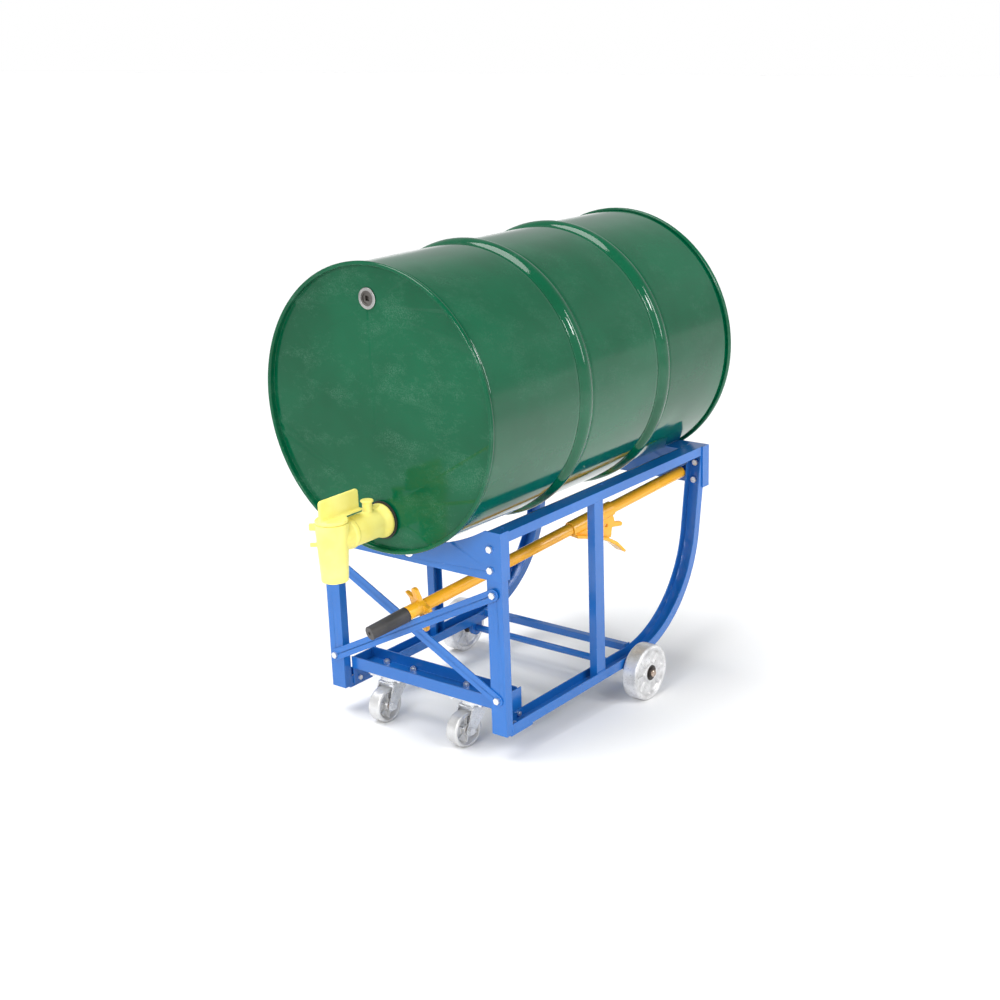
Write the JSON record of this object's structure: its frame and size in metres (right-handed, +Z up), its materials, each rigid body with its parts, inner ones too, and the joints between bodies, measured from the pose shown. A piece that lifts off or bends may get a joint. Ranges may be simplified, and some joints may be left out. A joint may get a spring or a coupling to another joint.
{
  "type": "drum dolly",
  "caption": "Tilting drum cradle on swivel casters and rear wheels with curved rocker rails, hand lever, and a drum with faucet lying on its saddles.",
  "frame": {"origin": "on the floor under the middle of the bounding box", "axes": "+Z up, +Y from the faucet end to the rocker end, +X to the right seen from the faucet end"},
  "size_m": [0.5918, 1.0519, 1.0586],
  "materials": {
    "frame_paint": "gloss powder coat",
    "drum_paint": "gloss enamel",
    "lever_paint": "gloss powder coat",
    "zinc": "bright zinc plate",
    "yellow_zinc": "yellow chromate zinc plate",
    "caster_steel": "machined",
    "cast_wheel": "as cast, machined tread",
    "dark_steel": "oiled",
    "bronze": "oiled bush",
    "grip_rubber": "matte",
    "gasket_rubber": "matte",
    "faucet_plastic": "moulded polyethylene"
  },
  "bodies": {
    "frame": {"front_post_right": "frame_paint", "front_post_left": "frame_paint", "mid_post_right": "frame_paint", "mid_post_left": "frame_paint", "top_rail_right": "frame_paint", "top_rail_left": "frame_paint", "rocker_right": "frame_paint", "rocker_left": "frame_paint", "foot_pad_right": "frame_paint", "foot_pad_left": "frame_paint", "crossmember_bracket_right": "frame_paint", "crossmember_bracket_left": "frame_paint", "axle_bracket_right": "frame_paint", "axle_bracket_left": "frame_paint", "brace_bar_rising": "frame_paint", "brace_bar_falling": "frame_paint", "front_saddle": "frame_paint", "rear_saddle": "frame_paint", "caster_crossmember": "frame_paint", "rear_cross_bar": "frame_paint", "lever_peg": "frame_paint", "bolt_spacers": "frame_paint", "saddle_bolts": "zinc", "brace_bolts": "zinc", "caster_bolts": "zinc", "rail_bolts": "zinc", "axle_clips": "dark_steel", "axle": "caster_steel", "caster_plate_right": "zinc", "caster_plate_left": "zinc"},
    "caster_right": {"caster_fork_right": "zinc", "kingpin_right": "yellow_zinc", "caster_axle_right": "zinc"},
    "caster_wheel_right": {"caster_wheel_right": "caster_steel", "caster_bushing_right": "bronze"},
    "rear_wheel_right": {"rear_wheel_right": "cast_wheel", "rear_bearing_right": "dark_steel"},
    "caster_left": {"caster_fork_left": "zinc", "kingpin_left": "yellow_zinc", "caster_axle_left": "zinc"},
    "caster_wheel_left": {"caster_wheel_left": "caster_steel", "caster_bushing_left": "bronze"},
    "rear_wheel_left": {"rear_wheel_left": "cast_wheel", "rear_bearing_left": "dark_steel"},
    "lever": {"lever_tube": "lever_paint", "lever_grip": "grip_rubber", "bung_wrench": "lever_paint", "chime_hook": "lever_paint"},
    "drum": {"drum_shell": "drum_paint", "drum_head_front": "drum_paint", "drum_head_rear": "drum_paint", "bung_flange": "drum_paint", "vent_flange": "zinc", "faucet_gasket": "gasket_rubber", "faucet_body": "faucet_plastic"},
    "vent_plug": {"vent_plug": "dark_steel"},
    "faucet_handle": {"faucet_spool": "faucet_plastic", "faucet_handle": "faucet_plastic"}
  },
  "joints": [
    {"name": "caster_swivel_right", "type": "hinge", "parent": "frame", "child": "caster_right", "pos_m": [0.112, -0.19825, 0.08863], "axis": [0, -0.0509, 0.9987], "continuous": true},
    {"name": "caster_roll_right", "type": "hinge", "parent": "caster_right", "child": "caster_wheel_right", "pos_m": [0.10766, -0.22742, 0.03808], "axis": [0.9907, -0.1355, -0.0069], "continuous": true},
    {"name": "rear_roll_right", "type": "hinge", "parent": "frame", "child": "rear_wheel_right", "pos_m": [0.263, 0.22358, 0.06356], "axis": [1, 0, 0], "continuous": true},
    {"name": "caster_swivel_left", "type": "hinge", "parent": "frame", "child": "caster_left", "pos_m": [-0.112, -0.19825, 0.08863], "axis": [0, -0.0509, 0.9987], "continuous": true},
    {"name": "caster_roll_left", "type": "hinge", "parent": "caster_left", "child": "caster_wheel_left", "pos_m": [-0.112, -0.22771, 0.03806], "axis": [1, 0, 0], "continuous": true},
    {"name": "rear_roll_left", "type": "hinge", "parent": "frame", "child": "rear_wheel_left", "pos_m": [-0.263, 0.22358, 0.06356], "axis": [1, 0, 0], "continuous": true},
    {"name": "lever_pull", "type": "slide", "parent": "frame", "child": "lever", "axis": [-0.2397, -0.9429, -0.2315], "range_m": [0, 0.015]},
    {"name": "drum_lift", "type": "slide", "parent": "frame", "child": "drum", "axis": [0, 0, 1], "range_m": [0, 0.15]},
    {"name": "vent_plug_turn", "type": "hinge", "parent": "drum", "child": "vent_plug", "pos_m": [-0.01, -0.36286, 0.94135], "axis": [0, -0.9987, -0.0509], "continuous": true},
    {"name": "faucet_turn", "type": "hinge", "parent": "drum", "child": "faucet_handle", "pos_m": [0, -0.49159, 0.52026], "axis": [0, -0.0509, 0.9987], "range_deg": [0, 90]}
  ]
}
